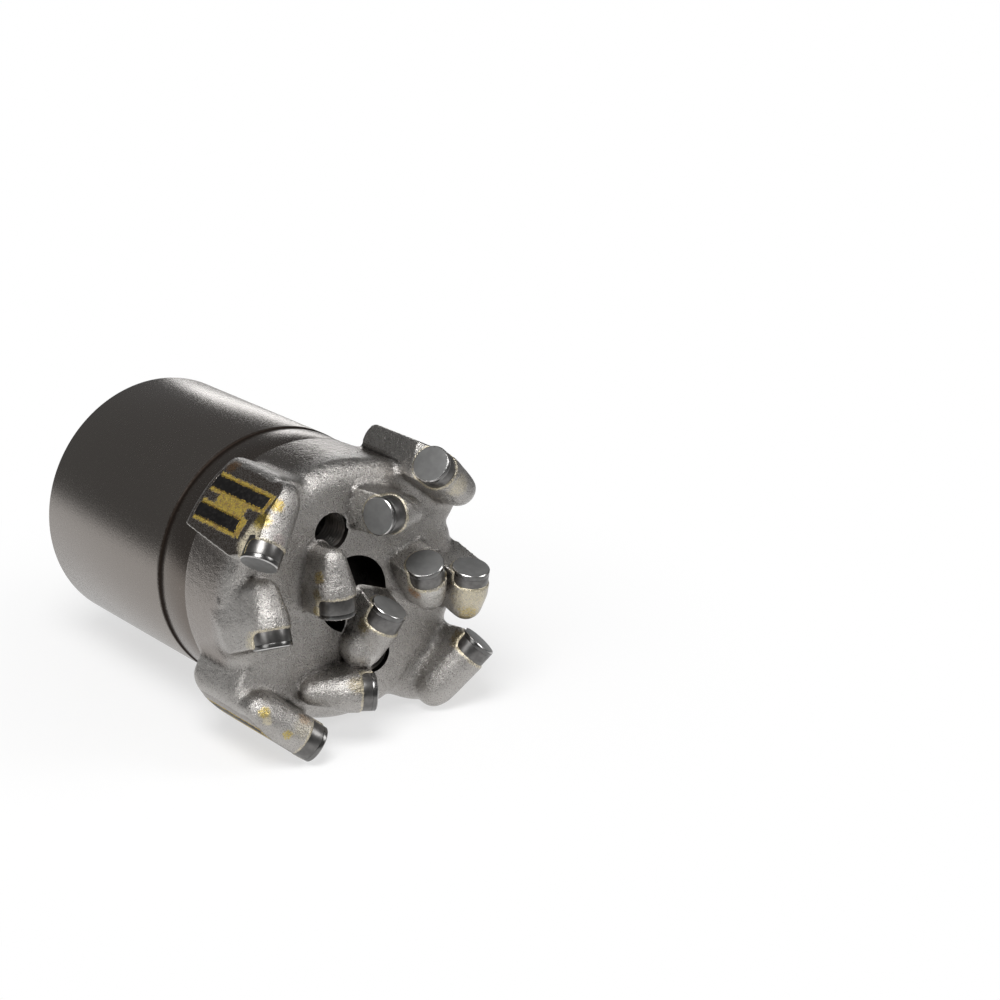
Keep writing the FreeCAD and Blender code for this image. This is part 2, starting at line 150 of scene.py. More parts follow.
def choose_edges(item: Object, test: Callable[[Vector, Vector], bool]) -> None:
    """Select only those edges of an object in edit mode that pass a test.

    Args:
        item: The object.
        test: Given an edge's middle and direction, whether it is wanted.
    """
    shape = bmesh.from_edit_mesh(item.data)
    for part in (shape.faces, shape.edges, shape.verts):
        for element in part:
            element.select = False
    for edge in shape.edges:
        first, last = (vertex.co for vertex in edge.verts)
        if test((first + last) / 2, (last - first).normalized()):
            edge.select = True
    shape.select_flush_mode()
    bmesh.update_edit_mesh(item.data)


def apply_modifier(item: Object, kind: str, **settings: object) -> None:
    """Add one modifier to an object and apply it at once.

    Args:
        item: The object.
        kind: The modifier's type.
        settings: Its properties.
    """
    make_active(item)
    modifier = item.modifiers.new(kind.lower(), kind)
    for name, value in settings.items():
        setattr(modifier, name, value)
    bpy.ops.object.modifier_apply(modifier=modifier.name)


def break_edges(item: Object, width: float, angle: float) -> None:
    """Bevel the edges of an object that are sharper than an angle in degrees."""
    apply_modifier(item, "BEVEL", width=width, segments=2, limit_method="ANGLE", angle_limit=radians(angle))


def cut_away(item: Object, tool: Object) -> None:
    """Cut a tool from a piece and remove the tool."""
    apply_modifier(item, "BOOLEAN", operation="DIFFERENCE", object=tool, solver="EXACT")
    bpy.data.objects.remove(tool, do_unlink=True)


def settle(item: Object, place: Matrix) -> Object:
    """Move a finished mesh to its place, with the object itself left at the origin, and return it."""
    item.matrix_world = place @ item.matrix_world
    make_active(item)
    bpy.ops.object.transform_apply(location=True, rotation=True, scale=True)
    return item


def paint(item: Object, smooth_below: float, *finishes: Material) -> None:
    """Give an object its materials, and smooth its edges below an angle in degrees."""
    for finish in finishes:
        item.data.materials.append(finish)
    make_active(item)
    bpy.ops.object.shade_smooth_by_angle(angle=radians(smooth_below))


def finish_piece(item: Object, nodes: list[str]) -> None:
    """Let a piece ride on the bit's body, hide the CAD nodes that it replaces and log its faces.

    Args:
        item: The piece.
        nodes: The CAD nodes that it replaces.
    """
    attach(item, Body.ROOT.value)
    if nodes:
        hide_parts(*nodes)
    log.info("%s: %d faces", item.name, len(item.data.polygons))


# Where things are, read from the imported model

def disc_face(cutter: str) -> tuple[Vector, Vector]:
    """Find the centre of a cutter's face and the direction out of it, in the part's frame."""
    points = [{tuple(round(value, 7) for value in vertex.co)
               for vertex in frame["nodes"][f"{cutter}_{half}"].data.vertices}
              for half in ("diamond", "carbide")]
    diamond, carbide = (sum((Vector(point) for point in group), Vector()) / len(group) for group in points)
    out = (diamond - carbide).normalized()
    reach = max((Vector(point) - diamond).dot(out) for point in points[0])
    return diamond + out * reach, out


@dataclass(frozen=True)
class BitAxes:
    """The bit's own axes: millimetres from the middle of the rear rim, +Z to the face, +X to wing 1."""

    matrix: Matrix

    @classmethod
    def from_frame(cls) -> "BitAxes":
        """Read the axes from the record's mounts and the first gauge cutter."""
        mounts = {mount["name"]: mount for mount in frame["record"]["mounts"]}
        front = -Vector(mounts["box_thread"]["axis"])
        middle = Vector(mounts["box_thread"]["pos_m"])
        rear = Vector(mounts["rear_shoulder"]["pos_m"])
        origin = middle + front * (rear - middle).dot(front)
        face, _ = disc_face("gauge_cutter_1")
        wing = face - origin
        wing = (wing - front * wing.dot(front)).normalized()
        turn = Matrix((wing, front.cross(wing), front)).transposed().to_4x4()
        return cls(Matrix.Translation(origin) @ turn @ Matrix.Scale(MILLIMETRE, 4))

    @property
    def inverse(self) -> Matrix:
        """From the part's metres to the bit's millimetres."""
        return self.matrix.inverted()


@dataclass(frozen=True)
class Seat:
    """One cutter's place: +X out of the diamond face, +Z away from the crown, in the bit's millimetres."""

    name: str
    place: Matrix
    bared: float

    @classmethod
    def from_frame(cls, name: str, axes: BitAxes, bared: float) -> "Seat":
        """Read a seat from the cutter's nodes.

        Args:
            name: The cutter's name.
            axes: The bit's axes.
            bared: Length of cutter that shows on top.

        Returns:
            The seat.
        """
        face, out = disc_face(name)
        ahead = (axes.inverse.to_3x3() @ out).normalized()
        up = Vector((0, 0, 1)) - ahead * ahead.z
        up.normalize()
        turn = Matrix((ahead, up.cross(ahead), up)).transposed().to_4x4()
        return cls(name, Matrix.Translation(axes.inverse @ face) @ turn, bared)

    @property
    def along(self) -> Matrix:
        """A place whose +Z runs out of the diamond face."""
        return self.place @ Matrix.Rotation(radians(90), 4, "Y")

    def seen(self, points: np.ndarray) -> np.ndarray:
        """Points of the bit's axes, seen from this seat."""
        inverse = np.array(self.place.inverted())
        return points @ inverse[:3, :3].T + inverse[:3, 3]


def read_seats(axes: BitAxes) -> list[Seat]:
    """Read every cutter's seat, the gauge cutters first."""
    seats = [Seat.from_frame(f"gauge_cutter_{n}", axes, GAUGE_BARED) for n in range(1, 5)]
    return seats + [Seat.from_frame(f"face_cutter_{n}", axes, bared)
                    for n, bared in enumerate(FACE_BARED, start=1)]


# Shader maths

def math_node(operation: str, swapped: bool = False) -> Callable[..., "Value"]:
    """Make a method that adds one Math node, with its own value last if swapped."""
    return lambda self, *others: self.shading.node("ShaderNodeMath", {"operation": operation}, dict(
        enumerate((*others, self) if swapped else (self, *others))))


class Value:
    """A socket or number that adds Math nodes when it is used in an expression."""

    __add__ = __radd__ = math_node("ADD")
    __sub__ = math_node("SUBTRACT")
    __rsub__ = math_node("SUBTRACT", swapped=True)
    __mul__ = __rmul__ = math_node("MULTIPLY")
    __pow__ = math_node("POWER")
    __abs__ = math_node("ABSOLUTE")
    max = math_node("MAXIMUM")
    min = math_node("MINIMUM")
    sine = math_node("SINE")
    angle_to = math_node("ARCTAN2")

    def __init__(self, shading: "Shading", source: object) -> None:
        self.shading = shading
        self.source = source

    def __neg__(self) -> "Value":
        """Opposite."""
        return self * -1.0

    def rise(self, low: float, high: float) -> "Value":
        """Smooth step that goes from 0 at low to 1 at high; low may be above high."""
        return self.shading.node(
            "ShaderNodeMapRange", {"interpolation_type": "SMOOTHSTEP"},
            {"Value": self, "From Min": low, "From Max": high, "To Min": 0.0, "To Max": 1.0})


class Shading:
    """One procedural material, the nodes that it is made of and the point that it shades.

    Args:
        name: The material's name.
        axes: From the axes that the point is given in to the part's metres, with one scale for all.
    """

    def __init__(self, name: str, axes: Matrix) -> None:
        self.material = bpy.data.materials.new(name)
        self.material.use_nodes = True
        self.tree = self.material.node_tree
        self.tree.nodes.clear()
        self.output = self.tree.nodes.new("ShaderNodeOutputMaterial")
        self.on_piece = self.node("ShaderNodeTexCoord", output="Object")
        self.place = self.place_in(axes)

    def node(self, kind: str, settings: dict | None = None, inputs: dict | None = None,
             output: object = 0) -> Value:
        """Add a node.

        Args:
            kind: Its type.
            settings: Properties that are set first.
            inputs: Numbers, colours or values for its sockets, by name or number.
            output: Name or number of the socket to return.

        Returns:
            The chosen output.
        """
        item = self.tree.nodes.new(kind)
        for name, value in (settings or {}).items():
            setattr(item, name, value)
        for name, value in (inputs or {}).items():
            if isinstance(value, Value):
                self.tree.links.new(value.source, item.inputs[name])
            else:
                item.inputs[name].default_value = value
        return Value(self, item.outputs[output])

    def parts(self, vector: Value) -> tuple[Value, Value, Value]:
        """Split a vector."""
        split = self.tree.nodes.new("ShaderNodeSeparateXYZ")
        self.tree.links.new(vector.source, split.inputs[0])
        return tuple(Value(self, socket) for socket in split.outputs)

    @cached_property
    def xyz(self) -> tuple[Value, Value, Value]:
        """The point's three coordinates."""
        return self.parts(self.place)

    @cached_property
    def radius(self) -> Value:
        """The point's distance from the upright axis."""
        x, y, _ = self.xyz
        return (x * x + y * y) ** 0.5

    def place_in(self, axes: Matrix) -> Value:
        """The point's place in other axes."""
        location, turn, scale = axes.inverted().decompose()
        return self.node("ShaderNodeMapping", {"vector_type": "POINT"}, {
            "Vector": self.on_piece, "Location": location, "Rotation": turn.to_euler(), "Scale": scale})

    def noise(self, scale: float, detail: float = 2.0, roughness: float = 0.5) -> Value:
        """Soft noise from 0 to 1 about a half."""
        return self.node("ShaderNodeTexNoise", None, {
            "Vector": self.place, "Scale": scale, "Detail": detail, "Roughness": roughness})

    def distance(self, spot: Spot) -> Value:
        """The point's distance from a spot."""
        return self.node("ShaderNodeVectorMath", {"operation": "DISTANCE"}, {0: self.place, 1: spot},
                         output="Value")

    def wing_turn(self, angle: float = 0.0) -> Value:
        """The point's angle from the nearest wing's own line at an angle, in radians."""
        x, y, _ = self.xyz
        return self.node("ShaderNodeMath", {"operation": "WRAP"}, {
            0: y.angle_to(x) - angle, 1: pi / 4, 2: -pi / 4})

    def mix(self, factor: object, first: object, second: object) -> Value:
        """Mix two colours by how much of the second, each a plain colour, a tint or a value."""
        return self.node("ShaderNodeMix", {"data_type": "RGBA"}, {
            0: factor, 6: as_rgba(first), 7: as_rgba(second)}, output=2)

    def bump(self, height: Value, strength: float, distance: float) -> Value:
        """A normal bent by a height, with its distance in millimetres."""
        return self.node("ShaderNodeBump", None, {
            "Height": height, "Strength": strength, "Distance": distance * MILLIMETRE})

    def surface(self, **inputs: object) -> Material:
        """Finish the material with one Principled shader.

        Args:
            inputs: Its sockets, with underscores for spaces.

        Returns:
            The material.
        """
        named = {name.replace("_", " "): as_rgba(value) if "Color" in name else value
                 for name, value in inputs.items()}
        shader = self.node("ShaderNodeBsdfPrincipled", None, named)
        self.tree.links.new(shader.source, self.output.inputs["Surface"])
        return self.material


def as_rgba(colour: object) -> object:
    """Give a plain colour or a tint its fourth number; leave a value as it is."""
    plain = colour.value if isinstance(colour, Tint) else colour
    return (*plain, 1.0) if isinstance(plain, tuple) and len(plain) == 3 else plain


# Finishes

class Tint(Enum):
    """Colours that braze and heat leave on the steel; the pale one also paints a highlight along each pad's
    leading edge, and the darkest one paints the shade of a small dent.
    """

    CREAM = (0.76, 0.68, 0.50)
    PALE = (0.66, 0.64, 0.61)
    GOLD = (0.52, 0.38, 0.09)
    YELLOW = (0.61, 0.46, 0.09)
    AMBER = (0.46, 0.31, 0.07)
    OLIVE = (0.25, 0.20, 0.09)
    ORANGE = (0.42, 0.21, 0.07)
    PINK = (0.48, 0.34, 0.32)
    # Painted shade of a small dent.
    SOOT = (0.05, 0.043, 0.038)


@dataclass(frozen=True)
class Stain:
    """One patch of braze or heat colour, or of painted shade, about a spot in the bit's axes."""

    spot: Spot
    size: float
    tint: Tint
    strength: float = 0.9
    dull: float = 0.0


STAINS = (
    Stain((24.6, -2.3, 141.8), 2.6, Tint.GOLD, 0.7),
    Stain((22.5, 3.5, 142.0), 2.4, Tint.OLIVE, 0.8),
    Stain((19.8, 9.0, 141.5), 2.2, Tint.YELLOW, 0.6),
    Stain((-36.4, -12.6, 150.0), 8.0, Tint.CREAM, 0.8),
    Stain((-39.9, -7.3, 147.1), 4.0, Tint.GOLD, 0.6),
    Stain((-21.0, -8.5, 146.2), 6.5, Tint.PALE),
    Stain((-17.0, -7.8, 141.8), 3.0, Tint.ORANGE, 0.8),
    Stain((25.2, 46.8, 142.8), 2.2, Tint.YELLOW, 0.8),
    Stain((23.0, 49.0, 143.2), 1.8, Tint.CREAM, 0.8),
    Stain((15.2, 51.2, 146.5), 1.8, Tint.YELLOW, 0.8),
    Stain((10.0, 47.5, 146.5), 4.4, Tint.CREAM, 0.35),
    Stain((10.0, 44.5, 145.5), 2.6, Tint.ORANGE, 0.4),
    Stain((-44.3, 2.0, 142.0), 4.0, Tint.OLIVE, 0.8),
    Stain((-46.5, 4.5, 145.5), 2.5, Tint.GOLD, 0.6),
    Stain((-3.6, 27.7, 148.3), 3.6, Tint.OLIVE, 0.6),
    Stain((-1.9, 8.1, 141.3), 3.4, Tint.OLIVE, 0.8),
    Stain((44.5, 26.5, 144.0), 4.2, Tint.CREAM, 0.7),
    Stain((59.0, -5.0, 141.5), 5.0, Tint.CREAM, 0.9, 0.7),
    Stain((57.5, -9.0, 141.5), 4.0, Tint.CREAM, 0.9, 0.7),
    Stain((56.0, -14.0, 142.0), 3.4, Tint.YELLOW, 0.9),
    Stain((51.0, -10.2, 148.5), 2.6, Tint.PINK, 0.3),
    Stain((53.0, -20.5, 142.8), 2.6, Tint.GOLD, 0.9),
    Stain((51.6, -26.3, 109.5), 3.0, Tint.ORANGE, 0.6),
    Stain((-14.0, -48.4, 147.1), 5.0, Tint.CREAM, 0.6),
    # Painted shade: a small dark spot that stands for a dent.
    Stain((44.0, 17.8, 120.5), 1.5, Tint.SOOT, 0.8),
)


@dataclass(frozen=True)
class PadPattern:
    """Where braze lies round the gauge strips, on the pads unrolled, and where a painted highlight runs along
    each pad's leading edge.
    """

    width: float = 4.8
    rear: float = 107.0
    long_angle: float = -19.8
    long_length: float = 32.0
    short_angle: float = -8.8
    short_length: float = 25.0
    border: float = 1.5
    land_middle: float = 16.0
    land_reach: float = 9.0

    @staticmethod
    def across(shade: Shading, angle: float) -> Value:
        """Distance round the gauge from a line at an angle of any wing, in millimetres, with its sign."""
        return shade.wing_turn(radians(angle)) * GAUGE_RADIUS

    def off_strip(self, shade: Shading, angle: float, length: float) -> Value:
        """Distance outside the sides and front of one strip of any wing, negative inside it."""
        return (abs(self.across(shade, angle)) - self.width / 2).max(shade.xyz[2] - (self.rear + length))

    def off_strips(self, shade: Shading) -> Value:
        """Distance outside the nearer strip."""
        return self.off_strip(shade, self.long_angle, self.long_length).min(
            self.off_strip(shade, self.short_angle, self.short_length))

    def braze(self, shade: Shading, ragged: Value) -> Value:
        """Where braze shows: ragged borders, the land between the strips and the short strip's front."""
        z = shade.xyz[2]
        borders = (self.off_strips(shade) + ragged * 2.6).rise(self.border + 0.2, self.border - 0.2)
        land = (abs(z - (self.rear + self.land_middle)) + ragged * 7.0).rise(
            self.land_reach + 0.5, self.land_reach - 0.5)
        land = land * abs(self.across(shade, (self.long_angle + self.short_angle) / 2)).rise(4.6, 4.0)
        front = (abs(z - (self.rear + self.short_length + 1.6)) + ragged * 2.5).rise(2.0, 1.6)
        front = front * (abs(self.across(shade, self.short_angle)) + ragged * 3.0).rise(3.6, 3.2)
        bare = (self.rear + 0.4 - z + ragged * 1.2).rise(0.3, -0.3)
        return borders.max(land).max(front) * bare

    @staticmethod
    def leading_edge_highlight(shade: Shading) -> Value:
        """A painted highlight: a bright line along the edge between each pad and its milled flank."""
        ahead = shade.radius * shade.wing_turn().sine() - FLANK_LEAD
        off = ahead * cos(FLANK_LEAN) - (shade.xyz[2] - FACE_HEIGHT) * sin(FLANK_LEAN)
        return abs(off).rise(0.5, 0.25) * shade.radius.rise(GAUGE_RADIUS - 0.7, GAUGE_RADIUS - 0.45)


def mustard(grit: Value, cloud: Value) -> Value:
    """Burnt yellow of the braze on the pads.

    Args:
        grit: Fine noise that flecks it.
        cloud: Coarse noise that turns it brown.

    Returns:
        The colour.
    """
    shade = grit.shading
    colour = shade.mix(grit.rise(0.40, 0.60), Tint.AMBER, Tint.YELLOW)
    colour = shade.mix(cloud.rise(0.50, 0.66) * 0.75, colour, Tint.ORANGE)
    return shade.mix((grit + (0.5 - cloud) * 0.5).rise(0.50, 0.40) * 0.85, colour, Tint.OLIVE)


@dataclass(frozen=True)
class TurnedSteel:
    """Smooth dark shank: oiled gun metal with fine specks and a brown ring at the groove."""

    colour: Colour = (0.29, 0.264, 0.242)
    light: Colour = (0.46, 0.43, 0.40)
    brown: Colour = (0.024, 0.016, 0.012)
    neck: Colour = (0.115, 0.092, 0.076)
    ring: float = 82.0
    roughness: float = 0.24

    def dress(self, axes: BitAxes) -> Material:
        """Build the material."""
        shade = Shading("turned_steel", axes.matrix)
        height = shade.xyz[2]
        speck = shade.noise(1.5, 3.0, 0.7)
        cloud = shade.noise(0.07, 2.0, 0.5)
        colour = shade.mix(height.rise(self.ring + 0.5, self.ring + 2.0) * 0.6, self.colour, self.neck)
        colour = shade.mix(speck.rise(0.58, 0.74) * 0.55, colour, self.light)
        ring = (abs(height - self.ring) + (cloud - 0.5) * 1.2 + (speck - 0.5) * 1.6).rise(2.8, 0.7)
        colour = shade.mix(ring * 0.97, colour, self.brown)
        roughness = self.roughness + (cloud - 0.5) * 0.04 + (speck - 0.5) * 0.25 + ring * 0.45
        return shade.surface(Base_Color=colour, Metallic=1.0, Roughness=roughness,
                             Normal=shade.bump(speck, 0.7, 0.09))


@dataclass(frozen=True)
class CastSteel:
    """Blasted crown: silver grey and grainy, with ground pads, braze that ran from the cutters, painted shade in
    its creases and a painted highlight along each pad's leading edge.
    """

    colour: Colour = (0.52, 0.50, 0.478)
    dark: Colour = (0.37, 0.35, 0.333)
    side: Colour = (0.29, 0.262, 0.24)
    # Colour of the painted shade in creases and roots.
    crease_shade: Colour = (0.045, 0.038, 0.033)
    pad: Colour = (0.17, 0.14, 0.118)
    grain: float = 0.27
    roughness: float = 0.295
    shoulder: float = 124.0
    pattern: PadPattern = PadPattern()

    def dress(self, axes: BitAxes, seats: list[Seat]) -> Material:
        """Build the material.

        Args:
            axes: The bit's axes.
            seats: The cutters whose edges carry braze.

        Returns:
            The material.
        """
        shade = Shading("cast_steel", axes.matrix)
        grit = shade.noise(2.4, 2.0, 0.6)
        dents = shade.noise(0.5, 2.0, 0.5)
        blotch = shade.noise(0.13, 3.0, 0.6)
        ragged = shade.noise(0.9, 4.0, 0.7) - 0.5
        hollow = shade.node("ShaderNodeNewGeometry", output="Pointiness")

        z, radius = shade.xyz[2], shade.radius
        colour = shade.mix((grit + (blotch - 0.5) * 0.35).rise(0.28, 0.64), self.dark, self.colour)
        flank = z.rise(self.shoulder + 1.0, self.shoulder - 8.0) * radius.rise(50.5, 49.0)
        colour = shade.mix(flank * 0.9, colour, self.side)
        # Painted shade: concave creases and roots, found by pointiness, darken towards near black.
        colour = shade.mix(hollow.rise(0.4985, 0.472) * 0.96, colour, self.crease_shade)
        ground = radius.rise(GAUGE_RADIUS - 0.35, GAUGE_RADIUS - 0.15)
        colour = shade.mix(ground, colour, shade.mix(grit.rise(0.4, 0.7), self.pad, self.dark))
        gold = self.pattern.braze(shade, ragged) * radius.rise(GAUGE_RADIUS - 1.3, GAUGE_RADIUS - 1.0)
        colour = shade.mix(gold, colour, mustard(grit, shade.noise(0.55, 3.0, 0.6)))
        colour, dull = self.stained(colour, gold * 0.35, ragged)
        masks = [self.braze_round(shade, axes, seat, ragged) for seat in seats]
        braze, filed = (reduce(Value.max, kind) for kind in zip(*masks))
        colour = shade.mix(filed * 0.5, colour, Tint.PALE)
        colour = shade.mix(braze * grit.rise(0.36, 0.56) * 0.85, colour, Tint.CREAM)
        # Painted highlight: a pale line along each pad's leading edge.
        colour = shade.mix(self.pattern.leading_edge_highlight(shade) * 0.9, colour, Tint.PALE)
        roughness = self.roughness + (grit - 0.5) * 0.35 + gold * 0.12 - flank * 0.08
        height = (grit + dents * 1.5) * (1.0 - flank * 0.5) * (1.0 - ground * (1.0 - gold) * 0.75)
        return shade.surface(Base_Color=colour, Metallic=1.0 - dull, Roughness=roughness,
                             Normal=shade.bump(height, 1.0, self.grain))

    @staticmethod
    def stained(colour: Value, dull: Value, ragged: Value) -> tuple[Value, Value]:
        """Lay the stains over a colour.

        Args:
            colour: The colour below.
            dull: Where it is no bare metal.
            ragged: Noise that moves the stains' edges.

        Returns:
            The colour and the dull mask with the stains.
        """
        shade = colour.shading
        fine = shade.noise(1.9, 3.0, 0.7).rise(0.34, 0.50)
        for stain in STAINS:
            edge = shade.distance(stain.spot) + ragged * stain.size * 1.5
            patch = edge.rise(stain.size * 1.2, stain.size * 0.6) * fine * stain.strength
            colour = shade.mix(patch, colour, stain.tint)
            if stain.dull:
                dull = dull.max(patch * stain.dull)
        return colour, dull

    @staticmethod
    def braze_round(shade: Shading, axes: BitAxes, seat: Seat, ragged: Value) -> tuple[Value, Value]:
        """Where braze shows round one cutter's pocket, and where the flat ahead of it was filed.

        Args:
            shade: The material being built.
            axes: The bit's axes.
            seat: The cutter.
            ragged: Noise that moves the edge of the braze.

        Returns:
            The two masks.
        """
        x, y, z = shade.parts(shade.place_in(axes.matrix @ seat.place))
        radial = (y * y + z * z) ** 0.5
        ahead = x.rise(0.6, 0.3)
        off = (-x - seat.bared).max(-z - 1.0).max(0.0) + ragged * 3.0
        line = off.rise(0.9, 0.3) * radial.rise(8.4, 7.8) * ahead
        front = x.rise(-1.6, -1.3) * ahead
        rim = front * (radial + ragged * 1.6).rise(7.7, 7.3)
        return line.max(rim), front * (radial + ragged * 6.0).rise(13.0, 11.0)


@dataclass(frozen=True)
class LappedFace:
    """A ground or lapped face of a cutter, softly mottled between two greys."""

    name: str
    colour: Colour
    dark: Colour
    roughness: float
    metallic: float = 1.0
    mottle: float = 0.35
    fine: float = 5.0

    def dress(self, axes: BitAxes) -> Material:
        """Build the material."""
        shade = Shading(self.name, axes.matrix)
        mottle = shade.noise(self.mottle, 2.0)
        fine = shade.noise(self.fine, 2.0)
        colour = shade.mix(mottle.rise(0.3, 0.7), self.colour, self.dark)
        return shade.surface(Base_Color=colour, Metallic=self.metallic,
                             Roughness=self.roughness + (fine - 0.5) * 0.1)


GROUND_CARBIDE = LappedFace("ground_carbide", (0.21, 0.204, 0.198), (0.155, 0.151, 0.147), 0.33, 1.0, 0.5, 6.0)
TABLE_FINISHES = (
    LappedFace("diamond_side", (0.20, 0.197, 0.192), (0.155, 0.152, 0.149), 0.24),
    LappedFace("diamond_face", (0.145, 0.145, 0.142), (0.12, 0.12, 0.118), 0.42, 0.1),
    # The chamfer's pale grey paints a highlight along each table's front rim.
    LappedFace("diamond_chamfer", (0.62, 0.61, 0.60), (0.50, 0.49, 0.48), 0.22),
)


@dataclass(frozen=True)
class BrazeMetal:
    """Braze: pale gold, dull and lumpy."""

    roughness: float = 0.42

    def dress(self, axes: BitAxes) -> Material:
        """Build the material."""
        shade = Shading("braze_metal", axes.matrix)
        lumps = shade.noise(0.9, 3.0, 0.7)
        colour = shade.mix(lumps.rise(0.38, 0.55), Tint.CREAM, Tint.OLIVE)
        return shade.surface(Base_Color=colour, Metallic=1.0, Roughness=self.roughness + (lumps - 0.5) * 0.2,
                             Normal=shade.bump(lumps, 0.8, 0.5))


@dataclass(frozen=True)
class StripCarbide:
    """Gauge strips: near black, ground flush, with braze smeared over their edges."""

    colour: Colour = (0.035, 0.033, 0.033)
    light: Colour = (0.065, 0.062, 0.06)
    roughness: float = 0.5
    pattern: PadPattern = PadPattern()

    def dress(self, axes: BitAxes) -> Material:
        """Build the material."""
        shade = Shading("strip_carbide", axes.matrix)
        mottle = shade.noise(0.8, 3.0)
        ragged = shade.noise(0.9, 4.0, 0.7) - 0.5
        grit = shade.noise(1.15, 3.0, 0.65)
        colour = shade.mix(mottle.rise(0.4, 0.75), self.colour, self.light)
        edge = (self.pattern.off_strips(shade) + ragged * 2.6).rise(-0.15, 0.0)
        colour = shade.mix(edge, colour, mustard(grit, mottle))
        return shade.surface(Base_Color=colour, Metallic=1.0 - edge * 0.35,
                             Roughness=self.roughness + (mottle - 0.5) * 0.2)


@dataclass(frozen=True)
class BoreSteel:
    """Inside of bores and threads: cut clean, then darkened."""

    colour: Colour = (0.09, 0.085, 0.08)
    light: Colour = (0.16, 0.145, 0.13)
    roughness: float = 0.3

    def dress(self, axes: BitAxes) -> Material:
        """Build the material."""
        shade = Shading("bore_steel", axes.matrix)
        stain = shade.noise(0.12, 3.0)
        colour = shade.mix(stain.rise(0.35, 0.7), self.colour, self.light)
        return shade.surface(Base_Color=colour, Metallic=1.0, Roughness=self.roughness + (stain - 0.5) * 0.2,
                             Normal=shade.bump((shade.xyz[2] * 9.0).sine(), 0.3, 0.03))


# Pieces

@dataclass
class Ports:
    """The two nozzle ports beside the waterway."""

    radius: float = 6.9
    circle: float = 26.0
    angle: float = 137.0
    count: int = 2

    def spots(self) -> list[Pair]:
        """Where the ports' axes stand."""
        angles = [radians(self.angle + 360.0 * number / self.count) for number in range(self.count)]
        return [(self.circle * cos(angle), self.circle * sin(angle)) for angle in angles]

    def drill(self, item: Object, low: float, high: float) -> None:
        """Cut both ports from a piece between two heights."""
        for spot in self.spots():
            cut_away(item, new_cylinder("port_tool", self.radius, low, high, spot, sides=64))


@dataclass
class BoredPiece:
    """A steel piece that the ports run through, with one finish outside and another in its bores."""

    axes: BitAxes
    ports: Ports
    outside: Material
    inside: Material

    def dress(self, item: Object, smooth_below: float, in_bore: Callable[[Vector], bool]) -> Object:
        """Give the piece its finishes and put it in its place.

        Args:
            item: The piece.
            smooth_below: Angle in degrees below which its edges are smoothed.
            in_bore: Given a face's centre, whether the face lies in a bore.

        Returns:
            The piece.
        """
        paint(item, smooth_below, self.outside, self.inside)
        for face in item.data.polygons:
            face.material_index = int(in_bore(face.center))
        return settle(item, self.axes.matrix)


@dataclass
class Shank(BoredPiece):
    """Turned shank with its groove and neck, the thread's bore and the plenum inside."""

    rear_chamfer: float = 1.2
    groove_height: float = 81.0
    groove_width: float = 1.4
    groove_depth: float = 0.4
    neck_relief: float = 0.3
    neck_end: float = 99.5
    lead_radius: float = 35.5
    lead_depth: float = 8.0
    bore_radius: float = 32.0
    bore_depth: float = 58.0
    plenum_depth: float = 24.0
    waterway_radius: float = 14.05
    mouth_chamfer: float = 0.6
    broken_edge: float = 0.12
    sides: int = 256

    def outline(self) -> list[Pair]:
        """The closed outline, outside first."""
        neck = SHANK_RADIUS - self.neck_relief
        floor = SHANK_RADIUS - self.groove_depth
        groove_end = self.groove_height + self.groove_width
        return [
            (SHANK_RADIUS - self.rear_chamfer, 0.0),
            (SHANK_RADIUS, self.rear_chamfer),
            (SHANK_RADIUS, self.groove_height),
            (floor, self.groove_height + self.groove_depth),
            (floor, groove_end),
            (neck, groove_end + self.groove_depth),
            (neck, self.neck_end),
            (self.waterway_radius, self.neck_end),
            (self.waterway_radius, self.bore_depth + self.plenum_depth),
            (self.bore_radius, self.bore_depth),
            (self.bore_radius, self.lead_depth + self.lead_radius - self.bore_radius),
            (self.lead_radius, self.lead_depth),
            (self.lead_radius, self.mouth_chamfer),
            (self.lead_radius + self.mouth_chamfer, 0.0),
        ]

    def turned(self) -> Object:
        """Turn the outline about the upright axis, ring by ring."""
        deselect_all()
        outline = self.outline()
        radius, height = outline[0]
        bpy.ops.mesh.primitive_circle_add(vertices=self.sides, radius=radius, location=(0, 0, height))
        item = bpy.context.object
        item.name = "shank"
        bpy.ops.object.transform_apply(location=True)
        with editing(item):
            bpy.ops.mesh.select_mode(type="EDGE")
            for next_radius, next_height in outline[1:] + outline[:1]:
                bpy.ops.mesh.extrude_edges_move(TRANSFORM_OT_translate={"value": (0, 0, next_height - height)})
                scale = next_radius / radius
                bpy.ops.transform.resize(value=(scale, scale, 1), center_override=(0, 0, next_height))
                radius, height = next_radius, next_height
            bpy.ops.mesh.select_all(action="SELECT")
            bpy.ops.mesh.remove_doubles(threshold=0.001)
            bpy.ops.mesh.normals_make_consistent(inside=False)
        return item

    def build(self) -> Object:
        """Turn the shank, drill the ports through its plenum and dress it."""
        item = self.turned()
        break_edges(item, self.broken_edge, 20)
        self.ports.drill(item, self.bore_depth - 0.5, self.neck_end + 1.0)
        mouth = self.lead_radius + self.mouth_chamfer
        return self.dress(item, 30, lambda centre: centre.xy.length < mouth + 0.2)


